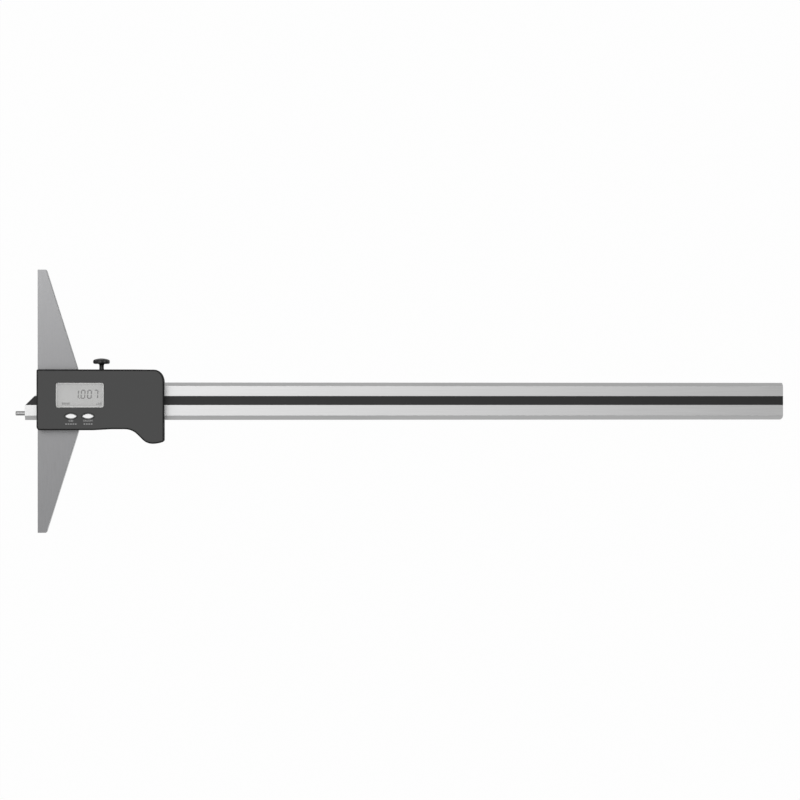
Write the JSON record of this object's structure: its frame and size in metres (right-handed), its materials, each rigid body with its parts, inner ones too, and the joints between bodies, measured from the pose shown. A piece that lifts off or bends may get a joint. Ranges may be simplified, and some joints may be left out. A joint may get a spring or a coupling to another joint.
{
  "type": "digital depth gauge",
  "caption": "Digital depth gauge: bevelled beam with pin sliding through a long measuring base and a moulded display unit with thumb rest, buttons and lock screw.",
  "frame": {"origin": "on the measuring face, at the beam's centre line and halfway through the beam's thickness; the gauge lies on its back", "axes": "+X along the beam away from the measuring face, +Y along the base towards the lock screw, +Z out of the display"},
  "size_m": [0.4446, 0.15, 0.0202],
  "materials": {
    "ground_steel": "satin ground, mid grey",
    "frame_aluminium": "die-cast, matt",
    "screw_steel": "black oxide",
    "brass": "plain",
    "housing_plastic": "charcoal, finely textured",
    "cover_plastic": "charcoal, finely textured",
    "pane": "clear, polished",
    "lcd": "light grey display with dark segments",
    "holder_plastic": "white, moulded",
    "contact_rubber": "striped contact strip",
    "board": "green solder mask",
    "chip": "black epoxy",
    "tinned_metal": "tinned",
    "beam_steel": "satin, finely brushed along its length",
    "strip": "dark, satin",
    "pin_steel": "ground",
    "button_plastic": "white, smooth",
    "lock_plastic": "black, smooth",
    "cell_steel": "bright"
  },
  "bodies": {
    "slider": {"base": "ground_steel", "slider_frame": "frame_aluminium", "base_screws": "screw_steel", "gib": "brass", "gib_screws": "screw_steel", "housing": "housing_plastic", "rear_cover": "cover_plastic", "case_screws": "screw_steel", "window_pane": "pane", "lcd_panel": "lcd", "lcd_holder": "holder_plastic", "zebra_strips": "contact_rubber", "circuit_board": "board", "board_screws": "screw_steel", "microchip": "chip", "crystal": "tinned_metal", "button_domes": "tinned_metal", "battery_contacts": "brass"},
    "beam": {"beam": "beam_steel", "scale_strip": "strip", "measuring_pin": "pin_steel", "stop_screws": "screw_steel"},
    "set_button": {"set_button": "button_plastic"},
    "mode_button": {"mode_button": "button_plastic"},
    "lock_pad": {"lock_pad": "brass"},
    "lock_screw": {"lock_screw": "lock_plastic"},
    "battery_drawer": {"battery_tray": "cover_plastic", "battery": "cell_steel"}
  },
  "joints": [
    {"name": "beam_slide", "type": "slide", "parent": "slider", "child": "beam", "axis": [-1, 0, 0], "range_m": [-0.015, 0.337]},
    {"name": "set_press", "type": "slide", "parent": "slider", "child": "set_button", "axis": [0, 0, -1], "range_m": [0, 0.0006], "stiffness_N_per_m": 400},
    {"name": "mode_press", "type": "slide", "parent": "slider", "child": "mode_button", "axis": [0, 0, -1], "range_m": [0, 0.0006], "stiffness_N_per_m": 400},
    {"name": "lock_feed", "type": "slide", "parent": "slider", "child": "lock_pad", "axis": [0, -1, 0], "range_m": [-0.0005, 0.000125]},
    {"name": "lock_turn", "type": "hinge", "parent": "lock_pad", "child": "lock_screw", "pos_m": [0.036, 0.02, 0], "axis": [0, -1, 0], "range_deg": [-360, 90]},
    {"name": "battery_draw", "type": "slide", "parent": "slider", "child": "battery_drawer", "axis": [1, 0, 0], "range_m": [0, 0.021]}
  ],
  "couplings": [
    {"joint": "lock_turn", "follows": "lock_feed", "rad_per_m": 12566}
  ]
}
